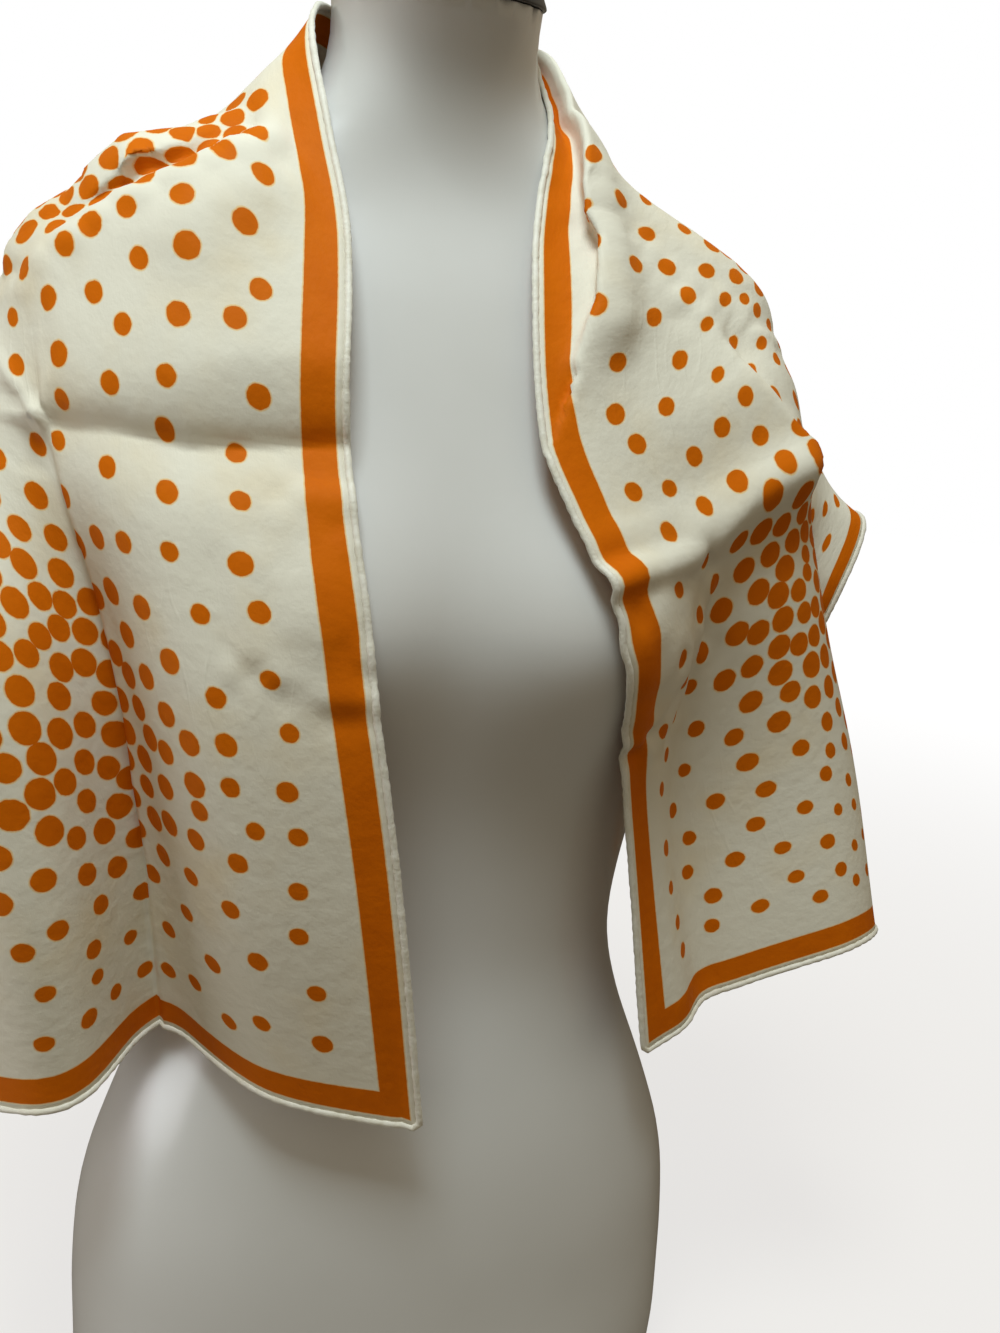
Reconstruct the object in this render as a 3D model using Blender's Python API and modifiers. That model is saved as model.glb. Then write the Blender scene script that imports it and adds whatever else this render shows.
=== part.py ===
# Oblong scarf laid over the shoulders of a limbless dress form.
# Metres, +Z up, front towards -Y, origin at the middle of the form's flat foot.
import math

import bmesh
import bpy
from mathutils import Vector
from mathutils.bvhtree import BVHTree

MM = 0.001

# The cut scarf, and the stations where one stretch ends and the next begins.
SCARF_LENGTH = 1.220
SCARF_WIDTH = 0.330
LEFT_STRETCH_END = 0.540
RIGHT_STRETCH_START = 0.685
WALL = 0.0015
SEAM_GAP = 0.0003
HEM_DIAMETER = 0.0032
FORM_CLEARANCE = 0.0012
NECK_CLEARANCE = 0.0024
CELL_CLEARANCE = 0.0006
CELLS_ALONG = 84
CELLS_ACROSS = 24

# The dress form.
FORM_AROUND = 56
FORM_RINGS = 42
FORM_SQUARENESS = 2.2
NECK_LEAN = math.radians(15)
NECK_LEAN_START = 0.700
BUST = {"sideways": 0.072, "height": 0.468, "out": 0.034, "wide": 0.050, "tall": 0.044}
CAP = {"thickness": 0.014, "overhang": 0.002, "dome": 0.006, "segments": 48}

# Form levels in mm: height, half width, depth in front and behind the axis.
FORM_LEVELS = (
    (0, 162, 108, 94),
    (4, 167, 112, 98),
    (40, 172, 116, 106),
    (70, 172, 113, 114),
    (100, 172, 109, 119),
    (150, 167, 106, 112),
    (200, 150, 101, 94),
    (250, 130, 92, 79),
    (290, 121, 86, 72),
    (330, 124, 87, 76),
    (380, 134, 91, 84),
    (420, 141, 96, 91),
    (460, 146, 100, 97),
    (500, 150, 98, 102),
    (540, 158, 90, 105),
    (575, 172, 80, 104),
    (600, 183, 71, 99),
    (618, 186, 64, 92),
    (634, 182, 57, 84),
    (648, 164, 51, 75),
    (660, 132, 48, 66),
    (672, 98, 47, 59),
    (686, 70, 48, 51),
    (702, 55, 50, 43),
    (722, 47, 56, 35),
    (745, 48, 66, 29),
)

# Places across the cloth, in mm from the neck edge, that each section row gives a point for.
ACROSS = (0, 70, 140, 205, 265, 330)

# One row for each crosswise section: station along the cloth in mm from the left front hem,
# then x, y, z in mm at each place in ACROSS.
SECTIONS = (
    (0, (-10, -120, 243), (-73, -103, 256), (-122, -54, 264), (-166, -84, 255), (-214, -46, 236), (-228, 14, 214)),
    (122, (-27, -130, 365), (-92, -118, 367), (-133, -68, 369), (-180, -92, 370), (-225, -46, 354), (-238, 14, 334)),
    (220, (-42, -128, 462), (-108, -116, 463), (-148, -74, 464), (-196, -78, 470), (-234, -26, 460), (-246, 26, 430)),
    (313, (-50, -98, 550), (-117, -86, 552), (-168, -60, 555), (-212, -14, 554), (-242, 38, 540), (-258, 66, 504)),
    (402, (-48, -66, 634), (-114, -50, 644), (-167, -4, 636), (-184, 64, 611), (-194, 104, 547), (-200, 122, 484)),
    (500, (-55, -4, 734), (-83, 36, 693), (-108, 90, 652), (-104, 120, 584), (-106, 130, 524), (-108, 136, 458)),
    (605, (0, 66, 740), (1, 94, 688), (1, 113, 622), (1, 123, 560), (0, 127, 500), (0, 130, 436)),
    (710, (55, -5, 731), (88, 36, 690), (108, 90, 651), (104, 120, 583), (106, 130, 523), (108, 136, 457)),
    (813, (36, -70, 630), (102, -46, 643), (168, 2, 643), (186, 64, 608), (200, 100, 546), (210, 112, 482)),
    (893, (34, -102, 556), (101, -84, 573), (164, -56, 595), (206, -12, 584), (237, 30, 564), (264, 50, 516)),
    (930, (45, -115, 524), (111, -88, 539), (175, -65, 560), (208, -22, 548), (241, 8, 530), (276, 15, 518)),
    (965, (59, -124, 492), (121, -88, 504), (185, -68, 527), (207, -28, 510), (232, 6, 490), (260, 6, 476)),
    (1090, (94, -92, 374), (142, -62, 380), (214, -68, 402), (251, -36, 392), (246, 18, 374), (246, 54, 358)),
    (1220, (118, -86, 246), (172, -68, 266), (242, -78, 292), (279, -40, 284), (264, 22, 258), (252, 78, 234)),
)

# Folds that lie slantwise to the sections, in mm on the cloth: from station and place to station and
# place, half width of the fold, and how far it stands out (or in, if negative) at each end.
FOLDS = (
    ("left shoulder pocket", 440, 40, 390, 122, 12, -8, -7),
    ("left shoulder roll", 470, 46, 404, 144, 22, 11, 4),
    ("left shoulder ledge", 416, 40, 372, 122, 20, 6, 5),
    ("left collar ridge", 470, 22, 380, 60, 15, 3, 3),
    ("left pressed swell", 344, 0, 324, 120, 28, 8, 5),
    ("left front valley", 310, 138, 0, 142, 24, -6, -5),
    ("left front flute", 250, 205, 0, 205, 28, 5, 6),
    ("right neck roll", 722, 28, 860, 36, 15, 9, 8),
    ("right bust crease", 958, 0, 945, 130, 12, 2, 8),
    ("right bust shade", 985, 30, 978, 140, 15, -3, -7),
    ("right front step", 1215, 58, 1000, 66, 14, -5, -4),
    ("right front ridge", 1215, 30, 990, 26, 16, 4, 2),
    ("right wing valley", 1000, 216, 880, 216, 24, -8, -9),
    ("back flute left", 560, 330, 575, 150, 34, 9, 1),
    ("back flute right", 660, 330, 645, 150, 34, 9, 1),
    ("back valley", 610, 330, 610, 170, 26, -7, -1),
)

PLASTIC = {"color": (0.74, 0.77, 0.79, 1), "roughness": 0.28}
CAP_PLASTIC = {"color": (0.012, 0.012, 0.013, 1), "roughness": 0.45}
CLOTH = {"color": (0.86, 0.85, 0.80, 1), "roughness": 0.50}
HEM = {"color": (0.84, 0.82, 0.74, 1), "roughness": 0.62}


def smooth_value(places, values, at):
    """Cubic curve through values at rising places, with slopes read from the neighbours."""
    last = len(places) - 1
    at = min(max(at, places[0]), places[last])
    i = 0
    while i < last - 1 and at > places[i + 1]:
        i += 1

    def slope(k):
        a, b = max(k - 1, 0), min(k + 1, last)
        return (values[b] - values[a]) / (places[b] - places[a])

    span = places[i + 1] - places[i]
    f = (at - places[i]) / span
    return (
        values[i] * (1 + 2 * f) * (1 - f) ** 2
        + slope(i) * span * f * (1 - f) ** 2
        + values[i + 1] * f * f * (3 - 2 * f)
        - slope(i + 1) * span * f * f * (1 - f)
    )


def form_point(height, turn):
    """Point of the dress form at a level and at an angle round it, both from the level table."""
    heights = [level[0] for level in FORM_LEVELS]
    half_width, front, back = (
        smooth_value(heights, [level[k] for level in FORM_LEVELS], height / MM) * MM for k in (1, 2, 3)
    )
    c, s = math.cos(turn), math.sin(turn)
    power = 2 / FORM_SQUARENESS
    x = half_width * math.copysign(abs(c) ** power, c)
    y = (back if s > 0 else front) * math.copysign(abs(s) ** power, s)
    if s < 0:
        across = (abs(x) - BUST["sideways"]) / BUST["wide"]
        above = (height - BUST["height"]) / BUST["tall"]
        y -= BUST["out"] * math.exp(-(across**2 + above**2) / 2) * min(1, -1.6 * s)
    top = FORM_LEVELS[-1][0] * MM
    lean = min(max((height - NECK_LEAN_START) / (top - NECK_LEAN_START), 0), 1)
    z = height + (y - (back - front) / 2) * math.tan(NECK_LEAN) * lean
    return Vector((x, y, z))


def sheet_point(station, place):
    """Point of the draped cloth before its slanting folds, from the section table."""
    stations = [row[0] for row in SECTIONS]
    points = []
    for column in range(len(ACROSS)):
        points.append([
            smooth_value(stations, [row[1 + column][axis] for row in SECTIONS], station / MM) for axis in range(3)
        ])
    return Vector([
        smooth_value(ACROSS, [point[axis] for point in points], place / MM) * MM for axis in range(3)
    ])


def sheet_normal(station, place):
    step = 0.004
    along = sheet_point(station + step, place) - sheet_point(station - step, place)
    across = sheet_point(station, place + step) - sheet_point(station, place - step)
    return along.cross(across).normalized()


def fold_height(station, place):
    """How far the slanting folds lift the cloth at one point of it."""
    lift = 0.0
    for name, s0, t0, s1, t1, half_width, start, end in FOLDS:
        ds, dt = (s1 - s0) * MM, (t1 - t0) * MM
        rs, rt = station - s0 * MM, place - t0 * MM
        f = min(max((rs * ds + rt * dt) / (ds * ds + dt * dt), 0), 1)
        gap = math.hypot(rs - f * ds, rt - f * dt) / (half_width * MM)
        lift += (start + (end - start) * f) * MM * math.exp(-gap * gap)
    return lift


def clearance(height):
    """Flat cells cut the corner on the tight round of the neck, so the cloth stands further off there."""
    up_neck = min(max((height - 0.680) / 0.030, 0), 1)
    return FORM_CLEARANCE + (NECK_CLEARANCE - FORM_CLEARANCE) * up_neck


def cloth_point(station, place, form_tree):
    """Point on the inner face of the cloth, kept just clear of the form."""
    point = sheet_point(station, place) + sheet_normal(station, place) * fold_height(station, place)
    spot, normal, index, distance = form_tree.find_nearest(point)
    clear = clearance(spot.z)
    if (point - spot).dot(normal) < clear:
        point = spot + normal * clear
    return point


def material(name, finish):
    made = bpy.data.materials.new(name)
    made.use_nodes = True
    shader = made.node_tree.nodes["Principled BSDF"]
    shader.inputs["Base Color"].default_value = finish["color"]
    shader.inputs["Roughness"].default_value = finish["roughness"]
    shader.inputs["Metallic"].default_value = 0.0
    return made


def add_object(name, data, collection, finish):
    thing = bpy.data.objects.new(name, data)
    data.materials.append(material(name, finish))
    collection.objects.link(thing)
    return thing


def mesh_from(bm, name):
    mesh = bpy.data.meshes.new(name)
    bm.to_mesh(mesh)
    bm.free()
    mesh.shade_smooth()
    return mesh


def build_form(collection):
    """A grid wrapped round the levels, welded down its side and closed at foot and neck."""
    bm = bmesh.new()
    bmesh.ops.create_grid(bm, x_segments=FORM_AROUND, y_segments=FORM_RINGS, size=0.5)
    top = FORM_LEVELS[-1][0] * MM
    foot = FORM_LEVELS[1][0] * MM
    for vert in bm.verts:
        around, up = vert.co.x + 0.5, vert.co.y + 0.5
        ring = round(up * FORM_RINGS)
        height = 0 if ring == 0 else foot + (top - foot) * (ring - 1) / (FORM_RINGS - 1)
        vert.co = form_point(height, 2 * math.pi * around)
    bmesh.ops.remove_doubles(bm, verts=bm.verts, dist=0.0001)
    bmesh.ops.holes_fill(bm, edges=[edge for edge in bm.edges if edge.is_boundary], sides=0)
    bmesh.ops.recalc_face_normals(bm, faces=bm.faces)
    form_tree = BVHTree.FromBMesh(bm)
    mesh = mesh_from(bm, "form_body")
    mesh.set_sharp_from_angle(angle=math.radians(50))
    add_object("form_body", mesh, collection, PLASTIC)
    return form_tree


def build_cap(collection):
    """Black lid lying on the slanting neck top."""
    top = FORM_LEVELS[-1]
    half_width, front, back = (value * MM for value in top[1:])
    bm = bmesh.new()
    bmesh.ops.create_cone(
        bm, cap_ends=True, segments=CAP["segments"], radius1=1, radius2=1, depth=CAP["thickness"],
    )
    bmesh.ops.translate(bm, verts=bm.verts, vec=(0, 0, CAP["thickness"] / 2))
    for vert in bm.verts:
        turn = math.atan2(vert.co.y, vert.co.x)
        rim = form_point(top[0] * MM, turn)
        out = Vector((rim.x, rim.y - (back - front) / 2, 0)).normalized() * CAP["overhang"]
        upper = vert.co.z > CAP["thickness"] / 2
        shrink = 0.88 if upper else 1.0
        middle = (back - front) / 2
        x = (rim.x + out.x) * shrink
        y = middle + (rim.y + out.y - middle) * shrink
        z = top[0] * MM + (y - middle) * math.tan(NECK_LEAN) + SEAM_GAP * 1.2
        vert.co = (x, y, z + (CAP["thickness"] if upper else 0))
    mesh = mesh_from(bm, "neck_cap")
    mesh.set_sharp_from_angle(angle=math.radians(40))
    return add_object("neck_cap", mesh, collection, CAP_PLASTIC)


def settle_cells(bm, form_tree):
    """Lift each cell whose flat middle would cut into the form."""
    for turn in range(4):
        for face in bm.faces:
            middles = [face.calc_center_median()]
            middles += [(edge.verts[0].co + edge.verts[1].co) / 2 for edge in face.edges]
            corners = [loop.vert.co for loop in face.loops]
            middles += [(corners[0] + corners[2]) / 2, (corners[1] + corners[3]) / 2]
            for middle in middles:
                spot, normal, index, distance = form_tree.find_nearest(middle)
                lack = CELL_CLEARANCE - (middle - spot).dot(normal)
                if lack > 0:
                    for vert in face.verts:
                        vert.co += normal * lack


def build_stretch(name, start, end, form_tree, collection):
    """One stretch of the cloth: a grid laid over its stations, given its wall by Solidify."""
    cells = max(2, round(CELLS_ALONG * (end - start) / SCARF_LENGTH))
    bm = bmesh.new()
    bmesh.ops.create_grid(bm, x_segments=cells, y_segments=CELLS_ACROSS, size=0.5)
    for vert in bm.verts:
        station = start + (end - start) * (vert.co.x + 0.5)
        place = SCARF_WIDTH * (vert.co.y + 0.5)
        vert.co = cloth_point(station, place, form_tree)
    settle_cells(bm, form_tree)
    cloth = add_object(name, mesh_from(bm, name), collection, CLOTH)
    wall = cloth.modifiers.new("wall", "SOLIDIFY")
    wall.thickness = WALL
    wall.offset = 1
    wall.use_even_offset = True
    wall.use_quality_normals = True
    return cells


def build_hem(name, route, form_tree, collection):
    """Rolled hem: a round tube that runs just outside the cloth's edge, half way through its wall."""
    curve = bpy.data.curves.new(name, "CURVE")
    curve.dimensions = "3D"
    spline = curve.splines.new("POLY")
    spline.points.add(len(route) - 1)
    out = HEM_DIAMETER / 2 + SEAM_GAP
    for spot, (station, place, side_s, side_t) in zip(spline.points, route):
        edge = cloth_point(station, place, form_tree)
        inside = cloth_point(station - side_s * 0.004, place - side_t * 0.004, form_tree)
        back = cloth_point(station - abs(side_t) * 0.004, place - abs(side_s) * 0.004, form_tree)
        front = cloth_point(station + abs(side_t) * 0.004, place + abs(side_s) * 0.004, form_tree)
        run = (front - back).normalized()
        away = edge - inside
        away = (away - run * away.dot(run)).normalized()
        normal = run.cross(away) * (side_t - side_s)
        middle = edge + away * out + normal * WALL / 2
        form_spot, form_normal, index, distance = form_tree.find_nearest(middle)
        clear = HEM_DIAMETER / 2 + FORM_CLEARANCE
        if (middle - form_spot).dot(form_normal) < clear:
            middle = form_spot + form_normal * clear
        spot.co = (*middle, 1)
    curve.bevel_depth = HEM_DIAMETER / 2
    curve.bevel_resolution = 1
    curve.use_fill_caps = True
    hem = add_object(name, curve, collection, HEM)
    return hem


def build_hems(form_tree, collection):
    """The end hems stop just short of the two long ones, which run on past the corners."""
    along = [SCARF_LENGTH * k / CELLS_ALONG for k in range(CELLS_ALONG + 1)]
    across = [SCARF_WIDTH * k / CELLS_ACROSS for k in range(CELLS_ACROSS + 1)]
    across[0], across[-1] = across[0] + 4 * SEAM_GAP, across[-1] - 4 * SEAM_GAP
    build_hem("hem_neck_edge", [(s, 0, 0, -1) for s in along], form_tree, collection)
    build_hem("hem_outer_edge", [(s, SCARF_WIDTH, 0, 1) for s in along], form_tree, collection)
    build_hem("hem_left_end", [(0, t, -1, 0) for t in across], form_tree, collection)
    build_hem("hem_right_end", [(SCARF_LENGTH, t, 1, 0) for t in across], form_tree, collection)


def main():
    for thing in list(bpy.data.objects):
        bpy.data.objects.remove(thing, do_unlink=True)
    collection = bpy.data.collections.new("scarf_on_dress_form")
    bpy.context.scene.collection.children.link(collection)
    form_tree = build_form(collection)
    build_cap(collection)
    half = SEAM_GAP / 2
    build_stretch("scarf_left_front", 0, LEFT_STRETCH_END - half, form_tree, collection)
    build_stretch("scarf_back", LEFT_STRETCH_END + half, RIGHT_STRETCH_START - half, form_tree, collection)
    build_stretch("scarf_right_front", RIGHT_STRETCH_START + half, SCARF_LENGTH, form_tree, collection)
    build_hems(form_tree, collection)


main()
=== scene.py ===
import math

import bmesh
import bpy
import numpy as np
from mathutils import Matrix, Vector
from mathutils.bvhtree import BVHTree
from mathutils.kdtree import KDTree


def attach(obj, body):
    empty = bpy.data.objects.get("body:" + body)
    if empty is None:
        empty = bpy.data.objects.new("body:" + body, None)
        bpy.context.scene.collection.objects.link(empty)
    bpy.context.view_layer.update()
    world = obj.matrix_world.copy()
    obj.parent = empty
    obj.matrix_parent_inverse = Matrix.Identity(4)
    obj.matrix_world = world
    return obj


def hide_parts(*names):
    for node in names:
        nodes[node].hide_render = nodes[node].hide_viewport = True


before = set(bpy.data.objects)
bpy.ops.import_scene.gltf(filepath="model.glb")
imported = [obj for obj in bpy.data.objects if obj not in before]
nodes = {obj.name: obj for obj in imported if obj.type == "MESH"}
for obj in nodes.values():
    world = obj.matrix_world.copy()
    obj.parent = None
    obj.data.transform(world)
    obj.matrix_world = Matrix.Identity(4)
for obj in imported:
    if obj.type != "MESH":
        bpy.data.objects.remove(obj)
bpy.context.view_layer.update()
scene = bpy.context.scene
mm = 0.001
print("frame loaded:", len(nodes), "nodes")


# the camera stands close, a little to the viewer's left, and looks down
cameraView = {
    "turn": -17.1,
    "tilt": -12.7,
    "roll": 3.67,
    "away": 0.5562,
    "aside": 0.0501,
    "height": 0.5608,
    "focalPixels": 1080.6,
    "longSidePixels": 1333,
}


def placeCamera(view):
    turn, tilt, roll = (math.radians(view[key]) for key in ("turn", "tilt", "roll"))
    away = Vector((math.sin(turn), -math.cos(turn), 0))
    aside = Vector((math.cos(turn), math.sin(turn), 0))
    up = Vector((0, 0, 1))
    place = away * view["away"] + aside * view["aside"] + up * view["height"]
    ahead = up * math.sin(tilt) - away * math.cos(tilt)
    over = aside.cross(ahead)
    right = aside * math.cos(roll) + over * math.sin(roll)
    top = over * math.cos(roll) - aside * math.sin(roll)
    data = bpy.data.cameras.new("photoView")
    data.sensor_width = 36
    data.lens = data.sensor_width * view["focalPixels"] / view["longSidePixels"]
    data.clip_start = 0.01
    camera = bpy.data.objects.new("photoView", data)
    camera.matrix_world = Matrix((
        (right.x, top.x, -ahead.x, place.x),
        (right.y, top.y, -ahead.y, place.y),
        (right.z, top.z, -ahead.z, place.z),
        (0, 0, 0, 1),
    ))
    scene.collection.objects.link(camera)
    scene.camera = camera


placeCamera(cameraView)
print("camera placed")


# small helpers for meshes
def finishMesh(bm, name, smooth=True):
    mesh = bpy.data.meshes.new(name)
    bm.to_mesh(mesh)
    bm.free()
    if smooth:
        mesh.shade_smooth()
    piece = bpy.data.objects.new(name, mesh)
    scene.collection.objects.link(piece)
    return piece


def mergedCopy(node):
    bm = bmesh.new()
    bm.from_mesh(nodes[node].data)
    bmesh.ops.remove_doubles(bm, verts=bm.verts, dist=0.01 * mm)
    return bm


def gridMesh(name, grid):
    # a sheet of cloth: a grid whose points are given row by row
    bm = bmesh.new()
    bmesh.ops.create_grid(bm, x_segments=grid.shape[1] - 1, y_segments=grid.shape[0] - 1, size=0.5)
    for vert, point in zip(bm.verts, grid.reshape(-1, 3)):
        vert.co = point
    return finishMesh(bm, name)


# small helpers for materials
def newMaterial(name):
    made = bpy.data.materials.new(name)
    made.use_nodes = True
    return made, made.node_tree, made.node_tree.nodes["Principled BSDF"]


def addNode(tree, kind, inputs=None, **settings):
    node = tree.nodes.new(kind)
    for key, value in settings.items():
        setattr(node, key, value)
    for key, value in (inputs or {}).items():
        if isinstance(value, bpy.types.NodeSocket):
            tree.links.new(value, node.inputs[key])
        else:
            node.inputs[key].default_value = value
    return node


def calc(tree, operation, *values, clamp=False):
    node = addNode(tree, "ShaderNodeMath", dict(enumerate(values)), operation=operation, use_clamp=clamp)
    return node.outputs[0]


def softStep(tree, value, start, end):
    # 0 before start, 1 after end
    inputs = {0: value, 1: start, 2: end}
    return addNode(tree, "ShaderNodeMapRange", inputs, interpolation_type="SMOOTHSTEP").outputs[0]


def mixColour(tree, factor, first, second):
    node = addNode(tree, "ShaderNodeMix", {0: factor, 6: first, 7: second}, data_type="RGBA")
    return node.outputs[2]


def noise(tree, vector, scale, detail=2.0, roughness=0.5):
    inputs = {"Vector": vector, "Scale": scale, "Detail": detail, "Roughness": roughness}
    return addNode(tree, "ShaderNodeTexNoise", inputs).outputs["Fac"]


def bump(tree, height, distance, strength=1.0, normal=None):
    inputs = {"Height": height, "Distance": distance, "Strength": strength}
    if normal is not None:
        inputs["Normal"] = normal
    return addNode(tree, "ShaderNodeBump", inputs).outputs[0]


# the dress form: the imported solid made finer, in glossy off-white plastic
form = {
    "colour": (0.68, 0.675, 0.655, 1),
    "stainColour": (0.65, 0.645, 0.62, 1),
    "roughness": 0.30,
    "coat": 0.25,
    "coatRoughness": 0.16,
    "handledSpread": 0.12,
    "sharpAngle": 45,
    "edgeCrease": 0.8,
    "orangePeel": 0.012,
    "waviness": 6.0,
}


def plasticMaterial(name, want):
    made, tree, shader = newMaterial(name)
    where = addNode(tree, "ShaderNodeTexCoord").outputs["Object"]
    cloudy = noise(tree, where, 9, 3)
    base = mixColour(tree, softStep(tree, cloudy, 0.35, 0.7), want["colour"], want["stainColour"])
    tree.links.new(base, shader.inputs["Base Color"])
    handled = noise(tree, where, 28, 5, 0.6)
    spread = want["handledSpread"]
    rough = calc(tree, "MULTIPLY_ADD", handled, spread, want["roughness"] - spread / 2)
    tree.links.new(rough, shader.inputs["Roughness"])
    shader.inputs["Coat Weight"].default_value = want["coat"]
    shader.inputs["Coat Roughness"].default_value = want["coatRoughness"]
    peel = noise(tree, where, 420, 2)
    wavy = noise(tree, where, 38, 2)
    height = calc(tree, "MULTIPLY_ADD", wavy, want["waviness"], peel)
    tree.links.new(bump(tree, height, want["orangePeel"] * mm), shader.inputs["Normal"])
    return made


def buildForm(want):
    bm = mergedCopy("form_body")
    bmesh.ops.join_triangles(
        bm, faces=bm.faces, angle_face_threshold=math.radians(30), angle_shape_threshold=math.radians(60),
    )
    crease = bm.edges.layers.float.new("crease_edge")
    for edge in bm.edges:
        if edge.calc_face_angle(0) > math.radians(want["sharpAngle"]):
            edge[crease] = want["edgeCrease"]
    piece = finishMesh(bm, "torso")
    finer = piece.modifiers.new("finer", "SUBSURF")
    finer.levels = 1
    finer.render_levels = 1
    piece.data.materials.append(plasticMaterial("offWhitePlastic", want))
    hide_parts("form_body")
    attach(piece, "root")
    return piece


torso = buildForm(form)
print("dress form built")


cap = {
    "colour": (0.010, 0.010, 0.011, 1),
    "roughness": 0.42,
    "edgeRound": 1.6,
    "rimAngle": 40,
    "grain": 0.05,
}


def buildCap(want):
    bm = mergedCopy("neck_cap")
    bmesh.ops.dissolve_limit(bm, angle_limit=math.radians(2), verts=bm.verts, edges=bm.edges)
    rims = [edge for edge in bm.edges if edge.calc_face_angle(0) > math.radians(want["rimAngle"])]
    bmesh.ops.bevel(
        bm, geom=rims, offset=want["edgeRound"] * mm, segments=3, affect="EDGES", profile=0.5, material=-1,
    )
    piece = finishMesh(bm, "neckLid")
    made, tree, shader = newMaterial("blackPlastic")
    where = addNode(tree, "ShaderNodeTexCoord").outputs["Object"]
    grain = noise(tree, where, 900, 2)
    shader.inputs["Base Color"].default_value = want["colour"]
    rough = calc(tree, "MULTIPLY_ADD", noise(tree, where, 60, 4), 0.2, want["roughness"] - 0.1)
    tree.links.new(rough, shader.inputs["Roughness"])
    tree.links.new(bump(tree, grain, want["grain"] * mm), shader.inputs["Normal"])
    piece.data.materials.append(made)
    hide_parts("neck_cap")
    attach(piece, "root")
    return piece


buildCap(cap)
print("neck cap built")


# the cut scarf: length and width in metres, the other sizes in mm
scarf = {
    "length": 1.220,
    "width": 0.330,
    "thickness": 0.45,
    "offForm": 1.1,
    # how far the cloth is lifted, and kept off the form, before it is simulated
    "hungLift": 0.7,
    "hungOffForm": 2.0,
    # how near the form a point has to be to be looked at
    "formReach": 30,
    "simCells": (136, 36),
    # cells up to each station and place, finer in front than behind
    "fineStations": ((500, 194), (720, 42), (1220, 194)),
    "finePlaces": ((220, 86), (330, 26)),
    "simFrames": 55,
    "mostMove": 11.0,
    # spots (station, place, reach) where the simulation moves the folds less, and by what share
    "calmShare": 0.9,
    "calm": ((430, 100, 110), (790, 40, 80), (850, 115, 75), (240, 60, 130), (365, 165, 45)),
}

# the rows of points that the scarf's solids are built from, in mm: the station along the cloth, then
# a point (x, y, z) at each of the places across it
acrossPlaces = (0, 70, 140, 205, 265, 330)
sectionRows = (
    (0, (-10, -120, 243), (-73, -103, 256), (-122, -54, 264),
     (-166, -84, 255), (-214, -46, 236), (-228, 14, 214)),
    (122, (-27, -130, 365), (-92, -118, 367), (-133, -68, 369),
     (-180, -92, 370), (-225, -46, 354), (-238, 14, 334)),
    (220, (-42, -128, 462), (-108, -116, 463), (-148, -74, 464),
     (-196, -78, 470), (-234, -26, 460), (-246, 26, 430)),
    (313, (-50, -98, 550), (-117, -86, 552), (-168, -60, 555),
     (-212, -14, 554), (-242, 38, 540), (-258, 66, 504)),
    (402, (-48, -66, 634), (-114, -50, 644), (-167, -4, 636),
     (-184, 64, 611), (-194, 104, 547), (-200, 122, 484)),
    (500, (-55, -4, 734), (-83, 36, 693), (-108, 90, 652),
     (-104, 120, 584), (-106, 130, 524), (-108, 136, 458)),
    (605, (0, 66, 740), (1, 94, 688), (1, 113, 622),
     (1, 123, 560), (0, 127, 500), (0, 130, 436)),
    (710, (55, -5, 731), (88, 36, 690), (108, 90, 651),
     (104, 120, 583), (106, 130, 523), (108, 136, 457)),
    (813, (36, -70, 630), (102, -46, 643), (168, 2, 643),
     (186, 64, 608), (200, 100, 546), (210, 112, 482)),
    (893, (34, -102, 556), (101, -84, 573), (164, -56, 595),
     (206, -12, 584), (237, 30, 564), (264, 50, 516)),
    (930, (45, -115, 524), (111, -88, 539), (175, -65, 560),
     (208, -22, 548), (241, 8, 530), (276, 15, 518)),
    (965, (59, -124, 492), (121, -88, 504), (185, -68, 527),
     (207, -28, 510), (232, 6, 490), (260, 6, 476)),
    (1090, (94, -92, 374), (142, -62, 380), (214, -68, 402),
     (251, -36, 392), (246, 18, 374), (246, 54, 358)),
    (1220, (118, -86, 246), (172, -68, 266), (242, -78, 292),
     (279, -40, 284), (264, 22, 258), (252, 78, 234)),
)

# large folds, in mm: from station and place to station and place, half width, how far out at each end
largeFolds = {
    "left shoulder pocket": (440, 40, 390, 122, 9, -8, -7),
    "left shoulder roll": (476, 52, 402, 150, 22, 3, -8),
    "left shoulder ledge": (416, 40, 372, 122, 20, 6, 5),
    "left collar ridge": (470, 22, 380, 60, 15, 3, 3),
    "left front valley": (310, 138, 0, 142, 24, -6, -5),
    "left front flute": (250, 205, 0, 205, 28, 5, 6),
    "right neck roll": (722, 30, 850, 36, 13, 2, 6),
    "right bust crease": (958, 0, 945, 130, 12, 2, 8),
    "right bust shade": (985, 30, 978, 140, 15, -1, -2),
    "right front step": (1215, 58, 1000, 66, 14, -5, -4),
    "right front ridge": (1215, 30, 990, 26, 16, 4, 2),
    "right wing valley": (1000, 216, 880, 216, 24, -8, -9),
    "back flute left": (560, 330, 575, 150, 34, 9, 1),
    "back flute right": (660, 330, 645, 150, 34, 9, 1),
    "back valley": (610, 330, 610, 170, 26, -7, -1),
}


def smoothRows(places, values, at):
    # a smooth curve through rows of values, slopes read from the neighbours
    places, values = np.array(places, float), np.array(values, float)
    last = len(places) - 1
    before = np.maximum(np.arange(last + 1) - 1, 0)
    after = np.minimum(np.arange(last + 1) + 1, last)
    shape = (-1,) + (1,) * (values.ndim - 1)
    slopes = (values[after] - values[before]) / (places[after] - places[before]).reshape(shape)
    at = np.clip(at, places[0], places[last])
    i = np.clip(np.searchsorted(places, at) - 1, 0, last - 1)
    span = (places[i + 1] - places[i]).reshape(shape)
    f = (at - places[i]).reshape(shape) / span
    return (
        values[i] * (1 + 2 * f) * (1 - f) ** 2
        + slopes[i] * span * f * (1 - f) ** 2
        + values[i + 1] * f * f * (3 - 2 * f)
        - slopes[i + 1] * span * f * f * (1 - f)
    )


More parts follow.
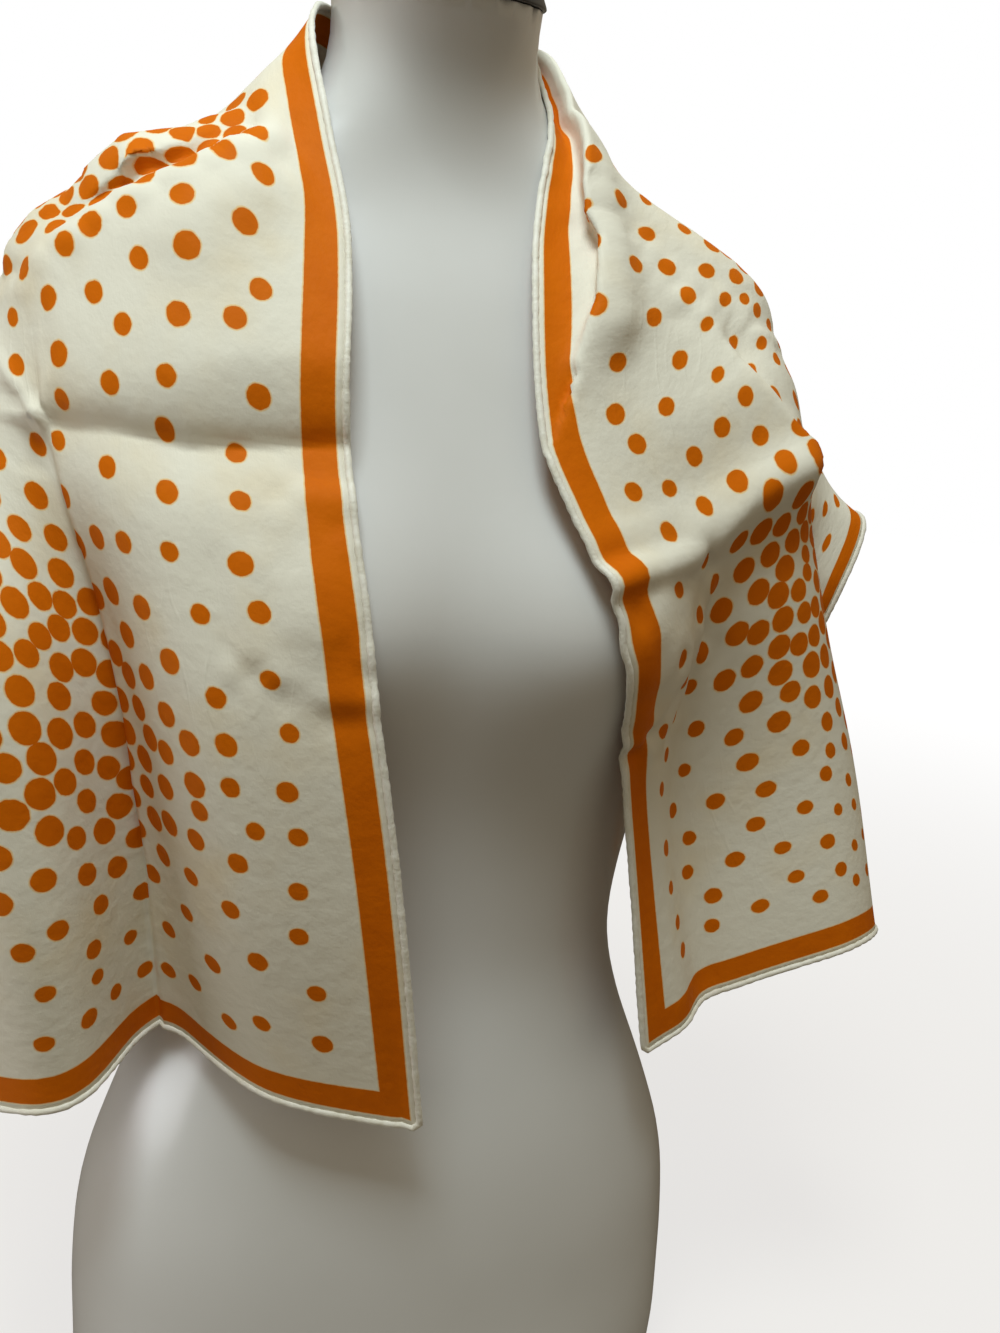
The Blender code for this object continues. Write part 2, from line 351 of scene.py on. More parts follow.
def clothPlaces(cells):
    stations = np.linspace(0, scarf["length"], cells[0] + 1)
    places = np.linspace(0, scarf["width"], cells[1] + 1)
    return stations, places


def finePlaces():
    lines = []
    for runs in (scarf["fineStations"], scarf["finePlaces"]):
        marks = [np.zeros(1)]
        for end, cells in runs:
            marks.append(np.linspace(marks[-1][-1], end * mm, cells + 1)[1:])
        lines.append(np.concatenate(marks))
    return lines


def drapedGrid(stations, places):
    # points of the draped cloth, one row for each place across it
    rows = np.array([row[1:] for row in sectionRows], float)
    along = smoothRows([row[0] for row in sectionRows], rows, stations / mm)
    return smoothRows(acrossPlaces, along.transpose(1, 0, 2), places / mm) * mm


def outwardNormals(grid, stations, places):
    along = np.gradient(grid, stations, axis=1)
    across = np.gradient(grid, places, axis=0)
    out = np.cross(along, across)
    return out / np.linalg.norm(out, axis=2, keepdims=True)


def lineGap(s, t, s0, t0, s1, t1):
    # how far along a line each point lies, 0 to 1, and how far off it, with a sign
    ds, dt = (s1 - s0) * mm, (t1 - t0) * mm
    rs, rt = s - s0 * mm, t - t0 * mm
    reach = math.hypot(ds, dt)
    f = np.clip((rs * ds + rt * dt) / reach**2, 0, 1)
    gap = np.hypot(rs - f * ds, rt - f * dt)
    side = np.sign(ds * rt - dt * rs)
    return f, gap, side


def largeFoldLift(s, t):
    lift = np.zeros_like(s)
    for s0, t0, s1, t1, halfWidth, start, end in largeFolds.values():
        f, gap, side = lineGap(s, t, s0, t0, s1, t1)
        lift += (start + (end - start) * f) * mm * np.exp(-((gap / (halfWidth * mm)) ** 2))
    return lift


def keepOffForm(grid, formTree, clear):
    # points that lie in the form, or too near it, move out to where they are clear of it
    points = grid.reshape(-1, 3)
    for k, point in enumerate(points):
        spot, normal, index, distance = formTree.find_nearest(Vector(point))
        if distance < scarf["formReach"] * mm and (Vector(point) - spot).dot(normal) < clear:
            points[k] = spot + normal * clear
    return points.reshape(grid.shape)


def treeOf(piece):
    graph = bpy.context.evaluated_depsgraph_get()
    return BVHTree.FromObject(piece, graph)


# cloth simulation: light silk, held softly where it is pinched or tucked
silkSim = {
    "quality": 8,
    "mass": 0.08,
    "tension": 40,
    "shear": 12,
    "bending": 1.2,
    "airDrag": 2,
    "pinStiffness": 5,
    "formSkin": 3.0,
    "formDepth": 50,
    "collisionQuality": 3,
    "gap": 2.0,
    "friction": 12,
    "everywhere": 0.55,
    "neckEdge": 0.75,
    # station, place, reach, hold
    "spots": (
        (320, 140, 14, 0.85),
        (955, 140, 14, 0.80),
        (940, 330, 16, 0.75),
        (1220, 140, 14, 0.6),
        (0, 140, 14, 0.6),
        (440, 95, 60, 0.90),
        (780, 40, 60, 0.85),
    ),
}


def holdStrength(s, t, want):
    # how firmly each point is held to where it hangs
    hold = np.full(s.shape, want["everywhere"])
    for s0, t0, reach, strength in want["spots"]:
        near = np.exp(-(((s / mm - s0) ** 2 + (t / mm - t0) ** 2) / reach**2))
        hold = np.maximum(hold, want["everywhere"] + (strength - want["everywhere"]) * near)
    hold[0] = np.maximum(hold[0], want["neckEdge"])
    return hold


def simulateCloth(hung, stations, places, want):
    collider = finishMesh(mergedCopy("form_body"), "formCollider")
    collider.modifiers.new("touch", "COLLISION")
    collider.collision.thickness_outer = want["formSkin"] * mm
    collider.collision.thickness_inner = want["formDepth"] * mm
    collider.collision.cloth_friction = want["friction"]
    sheet = gridMesh("simSheet", hung)
    sheet.shape_key_add(name="Basis")
    cut = sheet.shape_key_add(name="cut")
    s, t = np.meshgrid(stations, places)
    cut.data.foreach_set("co", np.stack([s, t, s * 0], -1).ravel().astype(np.float32))
    group = sheet.vertex_groups.new(name="hold")
    for k, value in enumerate(holdStrength(s, t, want).ravel()):
        group.add([k], float(value), "REPLACE")
    cloth = sheet.modifiers.new("drape", "CLOTH")
    silk = cloth.settings
    silk.quality = want["quality"]
    silk.mass = want["mass"]
    silk.tension_stiffness = want["tension"]
    silk.compression_stiffness = want["tension"]
    silk.shear_stiffness = want["shear"]
    silk.bending_stiffness = want["bending"]
    silk.air_damping = want["airDrag"]
    silk.vertex_group_mass = "hold"
    silk.pin_stiffness = want["pinStiffness"]
    silk.rest_shape_key = cut
    touch = cloth.collision_settings
    touch.collision_quality = want["collisionQuality"]
    touch.distance_min = want["gap"] * mm
    touch.friction = want["friction"]
    touch.use_self_collision = True
    touch.self_distance_min = want["gap"] * mm
    scene.frame_start = 1
    scene.frame_end = scarf["simFrames"]
    cloth.point_cache.frame_end = scarf["simFrames"]
    for number in range(1, scarf["simFrames"] + 1):
        scene.frame_set(number)
    settled = sheet.evaluated_get(bpy.context.evaluated_depsgraph_get()).to_mesh()
    points = np.zeros(len(settled.vertices) * 3, np.float32)
    settled.vertices.foreach_get("co", points)
    scene.frame_set(1)
    for thing in (sheet, collider):
        bpy.data.objects.remove(thing, do_unlink=True)
    return points.reshape(hung.shape).astype(float)


# creases, in mm: route on the cloth (station, place), half widths on its left and
# right as it runs, height out of the cloth at start, middle and end, and how round its crest is
creases = {
    "right neck tuck": (((676, 0), (712, 0), (775, 0)), (18, 18), (-5, -11, -2), 1.0),
    "right roll": (
        ((690, 24), (740, 26), (778, 34), (812, 44), (842, 38), (864, 24)), (16, 5), (4, 15, 6), 0.7,
    ),
    "right roll valley": (((735, 56), (790, 58), (850, 54), (900, 50)), (14, 12), (-1, -2.5, -1), 0.6),
    "right long crease": (((845, 84), (880, 108), (908, 126), (935, 138)), (6, 14), (1, 6, 6), 0.1),
    "right long hollow": (((850, 98), (885, 122), (912, 142)), (6, 8), (0, -5, -3), 0.5),
    "right bust crease": (
        ((962, 0), (960, 40), (956, 70), (946, 96), (944, 135)), (30, 8), (2.5, 7, 5), 0.08,
    ),
    "left pressed edge": (((343, 0), (338, 40), (330, 62), (321, 82)), (20, 14), (1.5, 1.8, 0), 0.15),
    "left pressed swell": (
        ((344, 0), (340, 34), (331, 64), (326, 92), (322, 124)), (24, 34), (8, 9.5, 6), 0.8,
    ),
    "left pressed belly": (((288, 0), (280, 60), (284, 128)), (26, 18), (3.5, 4.5, 3.5), 1.0),
    "left pressed crease": (((311, 0), (305, 60), (308, 100), (307, 134)), (20, 7), (-7, -8.5, -6), 0.05),
    "left shoulder lip": (
        ((462, 40), (448, 52), (435, 70), (420, 90), (406, 110), (394, 140)), (6, 42), (0, 12.5, -10), 0.5,
    ),
    "left collar ridge": (((478, 30), (436, 33), (398, 48), (362, 74)), (14, 14), (1, 3, 0), 0.7),
    "pinch fan one": (((308, 140), (320, 152), (331, 162), (346, 168)), (5, 5), (4, 3, 0), 0.1),
    "pinch fan two": (((308, 141), (306, 155), (304, 174)), (6, 5), (3.5, 2, 0), 0.15),
    "pinch fan three": (((308, 139), (322, 128), (334, 112)), (5, 6), (3, 1.5, 0), 0.2),
    "left valley line": (
        ((300, 140), (240, 138), (180, 137), (120, 138), (60, 141), (0, 141)), (14, 6), (-1, -9, -7), 0.06,
    ),
    "left valley edge": (
        ((298, 133), (240, 130), (180, 129), (120, 130), (60, 133), (0, 135)), (22, 5), (2, 6, 4), 0.3,
    ),
    "band nick": (((279, 1), (270, 11)), (2.5, 2.5), (0, -1.0, 0), 0.2),
    "corner fold": (((0, 7), (30, 8), (75, 9)), (3, 3), (-1.2, -0.9, 0), 0.2),
}
# how far a crest's cloth is slid along and across, in mm, each at start, middle and end: it makes
# the crest lean over
leans = {
    "left shoulder lip": ((0, -15, 0), (0, 0, 0)),
    "left valley edge": ((0, 0, 0), (3, 9, 5)),
    "right roll": ((0, 0, 0), (-26, -20, -7)),
}


def threeValues(f, values):
    start, middle, end = values
    return np.where(f < 0.5, start + (middle - start) * f * 2, middle + (end - middle) * (f * 2 - 1))


def creaseLift(s, t):
    # height out of the cloth, and how far the cloth slides along and across itself, in metres
    lift, slideS, slideT = np.zeros_like(s), np.zeros_like(s), np.zeros_like(s)
    for name, (route, widths, heights, roundness) in creases.items():
        runs = [math.dist(a, b) for a, b in zip(route, route[1:])]
        done, best, reach, bestSide = 0.0, np.full_like(s, 9.0), np.zeros_like(s), np.zeros_like(s)
        for (a, b), run in zip(zip(route, route[1:]), runs):
            f, gap, side = lineGap(s, t, a[0], a[1], b[0], b[1])
            nearer = gap < best
            best = np.where(nearer, gap, best)
            bestSide = np.where(nearer, side, bestSide)
            reach = np.where(nearer, (done + f * run) / sum(runs), reach)
            done += run
        width = np.where(bestSide > 0, widths[0], widths[1]) * mm
        shape = np.exp(roundness - np.hypot(best / width, roundness))
        lift += threeValues(reach, heights) * mm * shape
        if name in leans:
            slideS += threeValues(reach, leans[name][0]) * mm * shape
            slideT += threeValues(reach, leans[name][1]) * mm * shape
    return lift, slideS, slideT


# patches that handling has crumpled: station, place, reach along and across
crumples = (
    (215, 70, 70, 45),
    (130, 100, 80, 40),
    (320, 155, 34, 26),
    (900, 60, 60, 45),
    (1010, 210, 60, 60),
    (1120, 70, 60, 50),
    (610, 200, 90, 90),
)


def crumpled(s, t):
    most = np.zeros_like(s)
    for s0, t0, reachS, reachT in crumples:
        far = ((s / mm - s0) / reachS) ** 2 + ((t / mm - t0) / reachT) ** 2
        most = np.maximum(most, np.exp(-far))
    return most


def fineGrid(coarse, coarseStations, coarsePlaces, stations, places):
    along = smoothRows(coarseStations, coarse.transpose(1, 0, 2), stations)
    return smoothRows(coarsePlaces, along.transpose(1, 0, 2), places)


def valuesAt(grid, stations, places, s, t):
    # values of a grid at any stations and places
    j = np.clip(np.searchsorted(stations, s) - 1, 0, len(stations) - 2)
    i = np.clip(np.searchsorted(places, t) - 1, 0, len(places) - 2)
    fs = np.clip((s - stations[j]) / (stations[j + 1] - stations[j]), 0, 1)[..., None]
    ft = np.clip((t - places[i]) / (places[i + 1] - places[i]), 0, 1)[..., None]
    near = grid[i, j] * (1 - fs) + grid[i, j + 1] * fs
    far = grid[i + 1, j] * (1 - fs) + grid[i + 1, j + 1] * fs
    return near * (1 - ft) + far * ft


def shapeScarf():
    formTree = treeOf(torso)
    stations, places = clothPlaces(scarf["simCells"])
    s, t = np.meshgrid(stations, places)
    hung = drapedGrid(stations, places)
    out = outwardNormals(hung, stations, places)
    hung = hung + out * (largeFoldLift(s, t) + scarf["hungLift"] * mm)[..., None]
    hung = keepOffForm(hung, formTree, scarf["hungOffForm"] * mm)
    settled = simulateCloth(hung, stations, places, silkSim)
    move = settled - hung
    size = np.linalg.norm(move, axis=2, keepdims=True) + 1e-9
    most = np.full(s.shape + (1,), scarf["mostMove"] * mm)
    for s0, t0, reach in scarf["calm"]:
        near = np.exp(-(((s / mm - s0) ** 2 + (t / mm - t0) ** 2) / reach**2) ** 2)
        most *= 1 - scarf["calmShare"] * near[..., None]
    settled = hung + move / size * most * np.tanh(size / most)
    fineS, fineT = finePlaces()
    fine = fineGrid(settled, stations, places, fineS, fineT)
    s, t = np.meshgrid(fineS, fineT)
    out = outwardNormals(fine, fineS, fineT)
    lift, slideS, slideT = creaseLift(s, t)
    fine = valuesAt(fine, fineS, fineT, s + slideS, t + slideT)
    fine = fine + valuesAt(out, fineS, fineT, s + slideS, t + slideT) * lift[..., None]
    fine = keepOffForm(fine, formTree, scarf["offForm"] * mm)
    return fine, s, t


# the print: round dots of uneven size, crowded in a row of clusters down the middle
dots = {
    "seed": 4,
    "inset": 28.0,
    # spacing and radius where dots are sparse, and in the middle of a cluster
    "spacing": (25.0, 12.8),
    "radius": (4.3, 6.3),
    "radiusSpread": (0.9, 1.12),
    "leastGap": 0.5,
    "overlap": 1.06,
    "fill": 1.155,
    "settling": 7,
    "sampleStep": 3.0,
    "shift": 1.5,
    "crowdedSteadiness": 0.75,
    "reach": 1.45,
    # station, place, half length, half width of each cluster
    "clusters": (
        (188, 168, 92, 84),
        (448, 80, 52, 56),
        (420, 148, 50, 62),
        (610, 175, 70, 60),
        (800, 165, 50, 60),
        (1004, 145, 82, 68),
    ),
}


def crowding(s, t):
    # 0 where dots are sparse, 1 in the middle of a cluster
    most = np.zeros_like(s)
    for s0, t0, halfLength, halfWidth in dots["clusters"]:
        far = np.hypot((s - s0) / halfLength, (t - t0) / halfWidth)
        most = np.maximum(most, np.clip(dots["reach"] - far, 0, 1))
    return most * most * (3 - 2 * most)


def layDots():
    # dots spread evenly for their local spacing by a few rounds of settling
    inset, step = dots["inset"], dots["sampleStep"]
    length, width = scarf["length"] / mm, scarf["width"] / mm
    along, across = (np.arange(inset, size - inset, step) for size in (length, width))
    sampleS, sampleT = np.meshgrid(along, across)
    samples = np.stack([sampleS.ravel(), sampleT.ravel()], -1)
    crowd = crowding(samples[:, 0], samples[:, 1])
    spacing = dots["spacing"][0] + (dots["spacing"][1] - dots["spacing"][0]) * crowd
    weight = 1 / spacing**2
    count = int(weight.sum() * step * step * dots["fill"])
    pick = np.random.default_rng(dots["seed"])
    centres = samples[pick.choice(len(samples), count, replace=False, p=weight / weight.sum())]
    centres = centres + pick.uniform(-1, 1, centres.shape)
    for turn in range(dots["settling"]):
        tree = KDTree(count)
        for k, centre in enumerate(centres):
            tree.insert((centre[0], centre[1], 0), k)
        tree.balance()
        nearest = np.array([tree.find((sample[0], sample[1], 0))[1] for sample in samples])
        total = np.bincount(nearest, weight, count)
        for axis in (0, 1):
            mean = np.bincount(nearest, weight * samples[:, axis], count) / np.maximum(total, 1e-9)
            centres[:, axis] = np.where(total > 0, mean, centres[:, axis])
    crowd = crowding(centres[:, 0], centres[:, 1])
    loose = 1 - dots["crowdedSteadiness"] * crowd
    centres += pick.normal(0, dots["shift"], centres.shape) * loose[:, None]
    gaps = np.hypot(*(centres[:, None, :] - centres[None, :, :]).transpose(2, 0, 1))
    np.fill_diagonal(gaps, np.inf)
    want = dots["radius"][0] + (dots["radius"][1] - dots["radius"][0]) * crowd
    want = want * pick.uniform(*dots["radiusSpread"], count)
    radii = np.minimum(want, gaps.min(1) / 2 * dots["overlap"] - dots["leastGap"] / 2)
    return centres, radii


def printPattern(piece, s, t):
    # each point keeps its place on the flat cloth, each face its two nearest dots
    mesh = piece.data
    flat = mesh.attributes.new("flatPlace", "FLOAT_VECTOR", "POINT")
    flat.data.foreach_set("vector", (np.stack([s, t, s * 0], -1) / mm).ravel().astype(np.float32))
    handled = mesh.attributes.new("handled", "FLOAT", "POINT")
    handled.data.foreach_set("value", crumpled(s, t).ravel().astype(np.float32))
    centres, radii = layDots()
    middleS = ((s[:-1, :-1] + s[1:, 1:]) / 2).ravel() / mm
    middleT = ((t[:-1, :-1] + t[1:, 1:]) / 2).ravel() / mm
    first = np.zeros((len(middleS), 3), np.float32)
    second = np.zeros((len(middleS), 3), np.float32)
    dotRows = np.column_stack([centres, radii]).astype(np.float32)
    blockSize = 6000
    for part in range(0, len(middleS), blockSize):
        block = slice(part, part + blockSize)
        gapS = middleS[block, None] - centres[None, :, 0]
        gapT = middleT[block, None] - centres[None, :, 1]
        order = np.argpartition(np.hypot(gapS, gapT) - radii[None, :], 2, axis=1)[:, :2]
        first[block] = dotRows[order[:, 0]]
        second[block] = dotRows[order[:, 1]]
    for name, rows in (("dotOne", first), ("dotTwo", second)):
        mesh.attributes.new(name, "FLOAT_VECTOR", "FACE").data.foreach_set("vector", rows.ravel())
    print("dots:", len(centres))


# the printed silk: colours, then the border band, the ink's edge and the surface, in mm
silk = {
    "ivory": (0.78, 0.745, 0.63, 1),
    "ivoryDeep": (0.77, 0.69, 0.52, 1),
    "halo": (0.82, 0.54, 0.18, 1),
    "orange": (0.68, 0.157, 0.001, 1),
    "orangeDeep": (0.57, 0.115, 0.001, 1),
    "bandFrom": 3.2,
    "bandWidth": 13.8,
    "inkEdge": 0.22,
    "haloWidth": 0.55,
    "haloStrength": 0.75,
    "wobble": 0.9,
    "fray": 0.25,
    "roughness": 0.60,
    "roughnessSpread": 0.12,
    "specular": 0.06,
    "twillPitch": 0.5,
    "weftPitch": 0.36,
    "weftHeight": 0.4,
    "slubStretch": (0.25, 2.4, 1),
    "threadHeight": 0.06,
    "rumpleHeight": 0.5,
    "wrinkleScale": 0.10,
    "wrinkleStretch": (0.22, 0.8, 1),
    "wrinkleWidth": 0.05,
    "wrinkleHeight": 0.18,
}


def inkEdges(tree, flat, axes, want):
    # how far each point lies outside the nearest dot or the band, with an uneven edge
    wobble = calc(tree, "MULTIPLY_ADD", noise(tree, flat, 0.30, 2), want["wobble"], -0.5 * want["wobble"])
    fray = calc(tree, "MULTIPLY_ADD", noise(tree, flat, 2.2, 2), want["fray"], -0.5 * want["fray"])
    wobble = calc(tree, "ADD", wobble, fray)

    def dotGap(name):
        dot = addNode(tree, "ShaderNodeAttribute", attribute_name=name).outputs["Vector"]
        part = addNode(tree, "ShaderNodeSeparateXYZ", {0: dot}).outputs
        ds = calc(tree, "SUBTRACT", axes[0], part[0])
        dt = calc(tree, "SUBTRACT", axes[1], part[1])
        square = calc(tree, "ADD", calc(tree, "MULTIPLY", ds, ds), calc(tree, "MULTIPLY", dt, dt))
        return calc(tree, "SUBTRACT", calc(tree, "SQRT", square), part[2])

    def hemGap(axis, size):
        return calc(tree, "MINIMUM", axes[axis], calc(tree, "SUBTRACT", size / mm, axes[axis]))

    dotEdge = calc(tree, "ADD", calc(tree, "MINIMUM", dotGap("dotOne"), dotGap("dotTwo")), wobble)
    inFromHem = calc(tree, "MINIMUM", hemGap(0, scarf["length"]), hemGap(1, scarf["width"]))
    half = want["bandWidth"] / 2
    bandOff = calc(tree, "ABSOLUTE", calc(tree, "SUBTRACT", inFromHem, want["bandFrom"] + half))
    bandEdge = calc(tree, "MULTIPLY_ADD", wobble, 0.5, calc(tree, "SUBTRACT", bandOff, half))
    return calc(tree, "MINIMUM", dotEdge, bandEdge)


def silkColour(tree, flat, axes, want):
    edge = inkEdges(tree, flat, axes, want)
    ink = calc(tree, "SUBTRACT", 1.0, softStep(tree, edge, -want["inkEdge"], want["inkEdge"]))
    away = softStep(tree, edge, want["haloWidth"] * 0.4, want["haloWidth"] * 1.5)
    halo = calc(tree, "SUBTRACT", 1.0, away)
    cloudy = softStep(tree, noise(tree, flat, 0.018, 3), 0.45, 0.75)
    cloth = mixColour(tree, cloudy, want["ivory"], want["ivoryDeep"])
    uneven = noise(tree, flat, 0.05, 4, 0.6)
    paint = mixColour(tree, uneven, want["orange"], want["orangeDeep"])
    stained = mixColour(tree, calc(tree, "MULTIPLY", halo, want["haloStrength"]), cloth, want["halo"])
    return mixColour(tree, ink, stained, paint)


def silkNormal(tree, flat, axes, want):
    # a fine twill with slubs, on silk that is softly rumpled and has faint wrinkles where handled
    diagonal = calc(tree, "ADD", axes[0], axes[1])
    twist = calc(tree, "SINE", calc(tree, "MULTIPLY", diagonal, 2 * math.pi / want["twillPitch"]))
    weft = calc(tree, "SINE", calc(tree, "MULTIPLY", axes[1], 2 * math.pi / want["weftPitch"]))
    weave = calc(tree, "ADD", twist, calc(tree, "MULTIPLY", weft, want["weftHeight"]))
    threads = addNode(tree, "ShaderNodeVectorMath", {0: flat, 1: want["slubStretch"]}, operation="MULTIPLY")
    slub = noise(tree, threads.outputs[0], 1.0, 2)
    rumple = noise(tree, flat, 0.12, 4, 0.55)
    fine = calc(tree, "MULTIPLY_ADD", weave, 0.06, calc(tree, "MULTIPLY", slub, 0.5))
    handled = addNode(tree, "ShaderNodeAttribute", attribute_name="handled").outputs["Fac"]
    drawn = addNode(tree, "ShaderNodeVectorMath", {0: flat, 1: want["wrinkleStretch"]}, operation="MULTIPLY")
    lines = noise(tree, drawn.outputs[0], want["wrinkleScale"], 1)
    fold = calc(tree, "ABSOLUTE", calc(tree, "SUBTRACT", lines, 0.5))
    line = calc(tree, "SUBTRACT", 1.0, softStep(tree, fold, 0.0, want["wrinkleWidth"]))
    lineHeight = calc(tree, "MULTIPLY", handled, want["wrinkleHeight"])
    rumple = calc(tree, "MULTIPLY_ADD", line, lineHeight, rumple)
    soft = bump(tree, rumple, want["rumpleHeight"] * mm)
    return bump(tree, fine, want["threadHeight"] * mm, 1.0, soft)


def silkMaterial(want):
    made, tree, shader = newMaterial("printedSilk")
    flat = addNode(tree, "ShaderNodeAttribute", attribute_name="flatPlace").outputs["Vector"]
    axes = addNode(tree, "ShaderNodeSeparateXYZ", {0: flat}).outputs
    tree.links.new(silkColour(tree, flat, axes, want), shader.inputs["Base Color"])
    spread = want["roughnessSpread"]
    rough = calc(tree, "MULTIPLY_ADD", noise(tree, flat, 0.4, 3), spread, want["roughness"] - spread / 2)
    tree.links.new(rough, shader.inputs["Roughness"])
    shader.inputs["Specular IOR Level"].default_value = want["specular"]
    tree.links.new(silkNormal(tree, flat, axes, want), shader.inputs["Normal"])
    return made


def buildScarf():
    fine, s, t = shapeScarf()
    piece = gridMesh("silkScarf", fine)
    printPattern(piece, s, t)
    piece.data.materials.append(silkMaterial(silk))
    wall = piece.modifiers.new("silkThickness", "SOLIDIFY")
    wall.thickness = scarf["thickness"] * mm
    wall.offset = 1
    return piece, fine


silkScarf, clothGrid = buildScarf()
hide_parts("scarf_left_front", "scarf_back", "scarf_right_front")
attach(silkScarf, "root")
print("scarf built:", len(silkScarf.data.polygons), "faces")


# the rolled hem: one soft tube round the whole edge, puckered by its stitches
hem = {
    "radius": 1.5,
    "acrossShare": 1.06,
    "upShare": 0.94,
    "outFromEdge": 1.2,
    "offForm": 0.4,
    "sides": 10,
    "pucker": 0.16,
    "stitchPitch": 6.5,
    "seed": 21,
    "colour": (0.80, 0.775, 0.68, 1),
    "colourDeep": (0.70, 0.665, 0.54, 1),
    "roughness": 0.6,
    "sheen": 0.25,
    "grain": 0.35,
}


def hemRoute(grid):
    # edge points in order round the cloth, and the direction out of it at each
    inner = np.concatenate([grid[1, 1:-1], grid[1:-1, -2], grid[-2, -2:0:-1], grid[-2:0:-1, 1]])
    outer = np.concatenate([grid[0, 1:-1], grid[1:-1, -1], grid[-1, -2:0:-1], grid[-2:0:-1, 0]])
    return outer, inner


def smoothRound(points, rounds):
    for turn in range(rounds):
        points = (np.roll(points, 1, 0) + 2 * points + np.roll(points, -1, 0)) / 4
    return points


def buildHem(grid):
    outer, inner = hemRoute(grid)
    away = outer - inner
    away /= np.linalg.norm(away, axis=1, keepdims=True)
    away = smoothRound(away, 3)
    run = np.roll(outer, -1, 0) - np.roll(outer, 1, 0)
    run /= np.linalg.norm(run, axis=1, keepdims=True)
    away -= run * (away * run).sum(1, keepdims=True)
    away /= np.linalg.norm(away, axis=1, keepdims=True)
    normal = np.cross(away, run)
    middle = outer + away * hem["outFromEdge"] * mm + normal * scarf["thickness"] * mm / 2
    middle = keepOffForm(middle, treeOf(torso), (hem["radius"] + hem["offForm"]) * mm)
    steps = np.linalg.norm(np.roll(outer, -1, 0) - outer, axis=1)
    reach = np.cumsum(steps) / mm
    pick = np.random.default_rng(hem["seed"])
    uneven = smoothRound(pick.normal(0, 1, (len(outer), 1)), 3)[:, 0]
    pinch = np.abs(np.sin(math.pi * reach / hem["stitchPitch"] + uneven * 0.6))
    radius = hem["radius"] * (1 - hem["pucker"] + hem["pucker"] * 1.6 * pinch + 0.10 * uneven)
    sides = hem["sides"]
    rounds = []
    for k in range(sides + 1):
        turn = 2 * math.pi * k / sides
        ring = away * math.cos(turn) * hem["acrossShare"] + normal * math.sin(turn) * hem["upShare"]
        rounds.append(middle + ring * (radius * mm)[:, None])
    tube = np.array(rounds)
    tube = np.concatenate([tube, tube[:, :1]], axis=1)
    piece = gridMesh("rolledHem", tube)
    bm = bmesh.new()
    bm.from_mesh(piece.data)
    bmesh.ops.remove_doubles(bm, verts=bm.verts, dist=0.02 * mm)
    bmesh.ops.recalc_face_normals(bm, faces=bm.faces)
    bm.to_mesh(piece.data)
    bm.free()
    piece.data.shade_smooth()
    return piece


def hemMaterial(want):
    made, tree, shader = newMaterial("hemSilk")
    where = addNode(tree, "ShaderNodeTexCoord").outputs["Object"]
    tone = softStep(tree, noise(tree, where, 140, 4, 0.6), 0.35, 0.75)
    tree.links.new(mixColour(tree, tone, want["colour"], want["colourDeep"]), shader.inputs["Base Color"])
    shader.inputs["Roughness"].default_value = want["roughness"]
    shader.inputs["Sheen Weight"].default_value = want["sheen"]
    pucker = noise(tree, where, 520, 3)
    tree.links.new(bump(tree, pucker, want["grain"] * mm), shader.inputs["Normal"])
    return made


rolledHem = buildHem(clothGrid)
rolledHem.data.materials.append(hemMaterial(hem))
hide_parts("hem_neck_edge", "hem_outer_edge", "hem_left_end", "hem_right_end")
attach(rolledHem, "root")
print("rolled hem built")


# pale floor, white surroundings and soft lights
studio = {
    "floorSize": 14.0,
    "floorColour": (0.19, 0.17, 0.145, 1),
    "floorGlow": (0.72, 1.0),
    "floorFade": (0.3, 2.2),
    "skyColour": (1.0, 0.85, 0.62, 1),
    "skyStrength": 0.36,
}
# power, size, place, colour; the left light stands low and wide, so the floor hides part of it
softLights = {
    "keyLight": (15.5, 0.45, (-0.24, -0.50, 1.73), (0.84, 0.96, 1.0)),
    "leftLight": (10, 0.8, (-1.1, 0.05, -0.1), (0.95, 0.96, 1.0)),
}


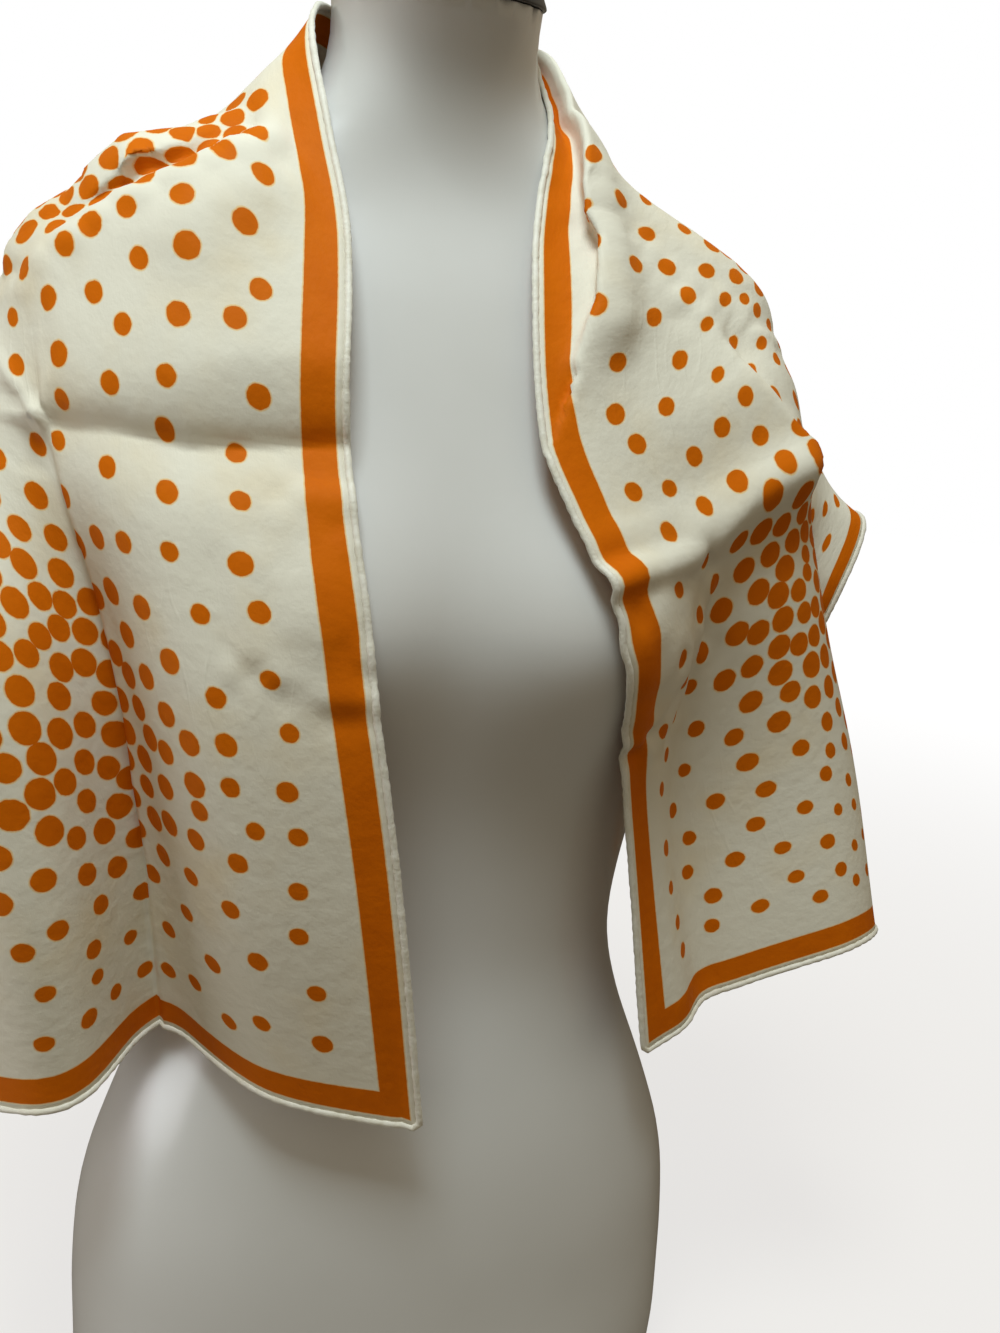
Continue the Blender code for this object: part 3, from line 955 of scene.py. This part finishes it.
def addSoftLight(name, power, size, place, colour):
    data = bpy.data.lights.new(name, "AREA")
    data.energy = power
    data.size = size
    data.color = colour
    lamp = bpy.data.objects.new(name, data)
    lamp.location = place
    aim = Vector((0, 0, 0.5)) - Vector(place)
    lamp.rotation_euler = aim.to_track_quat("-Z", "Y").to_euler()
    scene.collection.objects.link(lamp)


def seenOnly(tree, seen, unseen):
    # one value for what is looked at directly, another for the light it gives
    direct = addNode(tree, "ShaderNodeLightPath").outputs["Is Camera Ray"]
    return addNode(tree, "ShaderNodeMapRange", {0: direct, 3: unseen, 4: seen}).outputs[0]


def buildStudio(want):
    bm = bmesh.new()
    bmesh.ops.create_circle(bm, cap_ends=True, segments=96, radius=want["floorSize"] / 2)
    floor = finishMesh(bm, "paleFloor", smooth=False)
    made, tree, shader = newMaterial("paleFloor")
    shader.inputs["Roughness"].default_value = 0.9
    shader.inputs["Emission Color"].default_value = (1, 1, 1, 1)
    where = addNode(tree, "ShaderNodeTexCoord").outputs["Object"]
    fromMiddle = addNode(tree, "ShaderNodeVectorMath", {0: where}, operation="LENGTH").outputs["Value"]
    far = softStep(tree, fromMiddle, *want["floorFade"])
    near, beyond = want["floorGlow"]
    glow = calc(tree, "MULTIPLY_ADD", far, beyond - near, near)
    glow = calc(tree, "MULTIPLY", glow, seenOnly(tree, 1.0, 0.0))
    tree.links.new(glow, shader.inputs["Emission Strength"])
    tone = mixColour(tree, far, want["floorColour"], (0.0, 0.0, 0.0, 1))
    tree.links.new(tone, shader.inputs["Base Color"])
    floor.data.materials.append(made)
    world = bpy.data.worlds.new("studioSky")
    world.use_nodes = True
    scene.world = world
    sky = world.node_tree
    back = sky.nodes["Background"]
    sky.links.new(seenOnly(sky, 1.0, want["skyStrength"]), back.inputs["Strength"])
    colour = mixColour(sky, seenOnly(sky, 1.0, 0.0), want["skyColour"], (1, 1, 1, 1))
    sky.links.new(colour, back.inputs["Color"])
    for name, values in softLights.items():
        addSoftLight(name, *values)
    scene.view_settings.view_transform = "Standard"


buildStudio(studio)
print("studio built")
